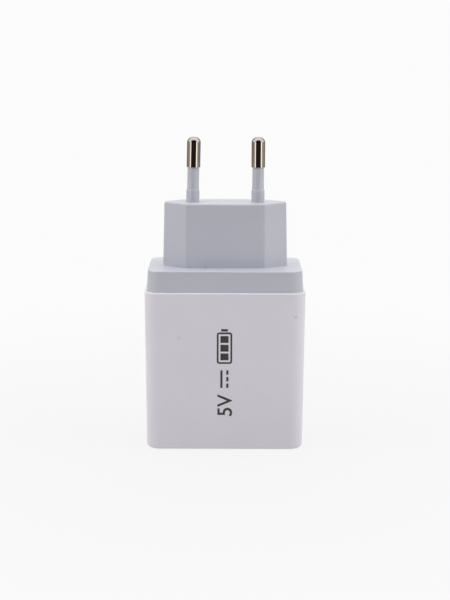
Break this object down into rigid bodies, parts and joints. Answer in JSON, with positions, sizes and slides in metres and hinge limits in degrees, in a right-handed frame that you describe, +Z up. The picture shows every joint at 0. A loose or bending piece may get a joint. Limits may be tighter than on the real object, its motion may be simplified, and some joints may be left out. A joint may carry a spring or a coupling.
{
  "type": "usb wall charger",
  "caption": "White wall charger with a two-pin plug neck on a stepped collar and a row of USB sockets in its end face, standing on the sockets.",
  "frame": {"origin": "middle of the port face, which the charger stands on", "axes": "+Z up along the plug pins, -Y towards the printed front, +X to the right of that front"},
  "size_m": [0.046, 0.0284, 0.0892],
  "materials": {
    "housing_plastic": "fine satin moulding",
    "cover_plastic": "fine satin moulding",
    "sleeve_plastic": "satin",
    "pin_metal": "nickel plate",
    "board_laminate": "solder mask",
    "shell_steel": "nickel plated sheet",
    "tongue_plastic": "moulded",
    "contact_metal": "flash plated",
    "ferrite": "ground ferrite",
    "bobbin_plastic": "moulded",
    "winding_tape": "tape",
    "tinned_terminal": "tinned",
    "can_sleeve": "shrink sleeve",
    "enamelled_copper": "enamelled",
    "disc_coat": "dipped resin",
    "package_resin": "moulded resin",
    "fuse_tube": "glazed tube",
    "wire_jacket_brown": "extruded",
    "wire_jacket_blue": "extruded"
  },
  "bodies": {
    "root": {"main_housing": "housing_plastic", "plug_cover": "cover_plastic", "sleeve_left": "sleeve_plastic", "sleeve_right": "sleeve_plastic", "pin_left": "pin_metal", "pin_right": "pin_metal", "main_board": "board_laminate", "usb_shell_1": "shell_steel", "usb_shell_2": "shell_steel", "usb_shell_3": "shell_steel", "usb_tongue_1": "tongue_plastic", "usb_tongue_2": "tongue_plastic", "usb_tongue_3": "tongue_plastic", "usb_contacts_1": "contact_metal", "usb_contacts_2": "contact_metal", "usb_contacts_3": "contact_metal", "transformer_core_lower": "ferrite", "transformer_core_upper": "ferrite", "choke_core": "ferrite", "transformer_bobbin": "bobbin_plastic", "transformer_winding": "winding_tape", "transformer_pins": "tinned_terminal", "bulk_capacitor_1": "can_sleeve", "bulk_capacitor_2": "can_sleeve", "output_capacitor_1": "can_sleeve", "output_capacitor_2": "can_sleeve", "choke_winding": "enamelled_copper", "y_capacitor": "disc_coat", "optocoupler": "package_resin", "bridge_rectifier": "package_resin", "switching_controller": "package_resin", "synchronous_rectifier": "package_resin", "fuse": "fuse_tube", "wire_live": "wire_jacket_brown", "wire_neutral": "wire_jacket_blue"}
  },
  "joints": []
}
